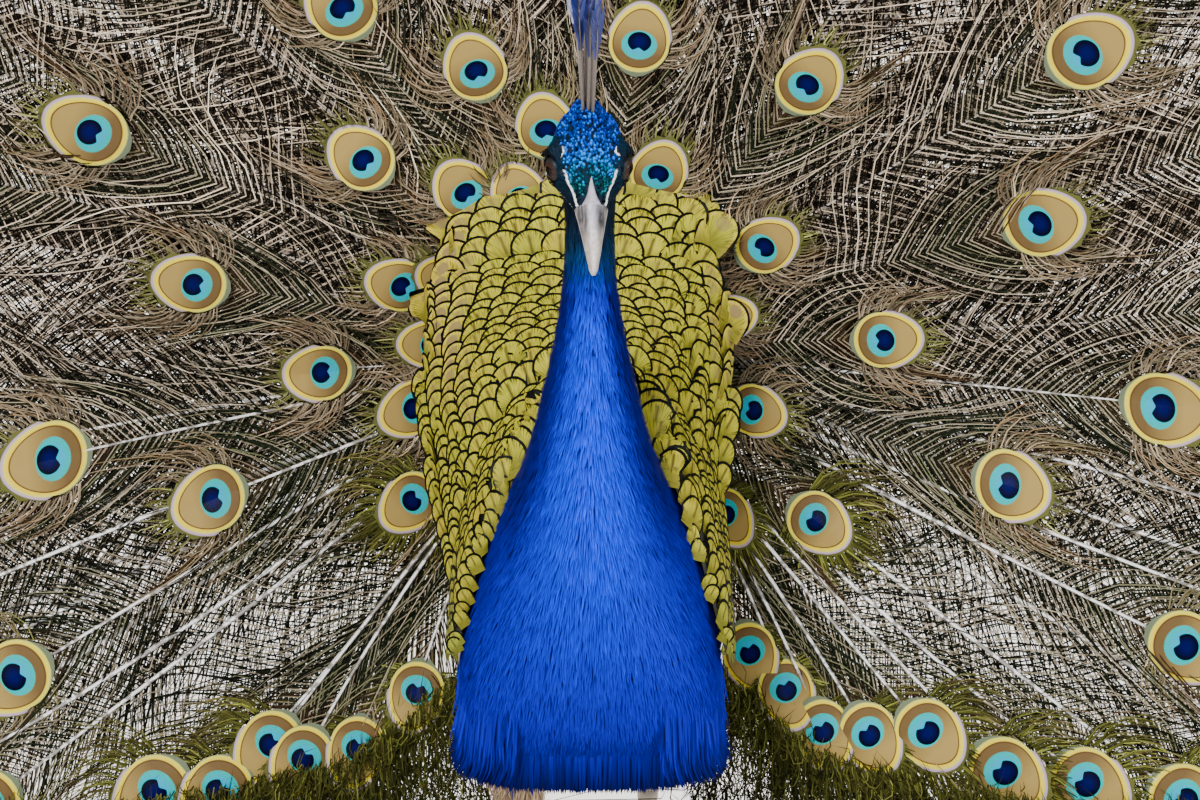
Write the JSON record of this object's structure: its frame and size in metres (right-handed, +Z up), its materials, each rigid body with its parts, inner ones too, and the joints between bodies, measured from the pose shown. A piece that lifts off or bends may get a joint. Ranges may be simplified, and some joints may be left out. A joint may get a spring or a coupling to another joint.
{
  "type": "indian peacock displaying its fanned train",
  "caption": "Life-size Indian peacock, standing and facing forward with its long train raised and fanned behind it.",
  "frame": {"origin": "middle of the base of the whole bird's box, on the floor under its soles", "axes": "+Z up, -Y the way the bird faces, +X towards the bird's left"},
  "size_m": [2.2998, 0.4054, 1.5542],
  "materials": {
    "blue_plumage": "iridescent blue hair-like body feathers over flesh",
    "crest_plumage": "bare shafts with small dark blue vanes",
    "scale_plumage": "golden-green scale feathers with dark rims",
    "train_plumage": "loose bronze-green barbs with eye-spots on white shafts",
    "tail_plumage": "stiff brown tail feathers and grey-brown down",
    "wing_plumage": "barred buff coverts and chestnut flight feathers",
    "thigh_plumage": "short buff feathers over flesh",
    "horn": "grey horn",
    "eye": "wet dark brown eye",
    "leg_skin": "grey-brown scaly leg skin"
  },
  "bodies": {
    "root": {"belly": "blue_plumage", "breast": "blue_plumage", "rump": "blue_plumage", "neck_lower": "blue_plumage", "neck_upper": "blue_plumage", "head": "blue_plumage", "crest": "crest_plumage", "back_saddle": "scale_plumage", "train_left_low": "train_plumage", "train_left_side": "train_plumage", "train_left_upper": "train_plumage", "train_left_top": "train_plumage", "train_right_low": "train_plumage", "train_right_side": "train_plumage", "train_right_upper": "train_plumage", "train_right_top": "train_plumage", "tail": "tail_plumage", "train_root": "tail_plumage", "wing_left_coverts": "wing_plumage", "wing_left_flight": "wing_plumage", "wing_right_coverts": "wing_plumage", "wing_right_flight": "wing_plumage", "thigh_left": "thigh_plumage", "thigh_right": "thigh_plumage", "bill_upper": "horn", "bill_lower": "horn", "spur_left": "horn", "spur_right": "horn", "claw_left_inner": "horn", "claw_left_middle": "horn", "claw_left_outer": "horn", "claw_left_hind": "horn", "claw_right_inner": "horn", "claw_right_middle": "horn", "claw_right_outer": "horn", "claw_right_hind": "horn", "eye_left": "eye", "eye_right": "eye", "shank_left": "leg_skin", "shank_right": "leg_skin", "palm_left": "leg_skin", "palm_right": "leg_skin", "toe_left_inner": "leg_skin", "toe_left_middle": "leg_skin", "toe_left_outer": "leg_skin", "toe_left_hind": "leg_skin", "toe_right_inner": "leg_skin", "toe_right_middle": "leg_skin", "toe_right_outer": "leg_skin", "toe_right_hind": "leg_skin"}
  },
  "joints": []
}
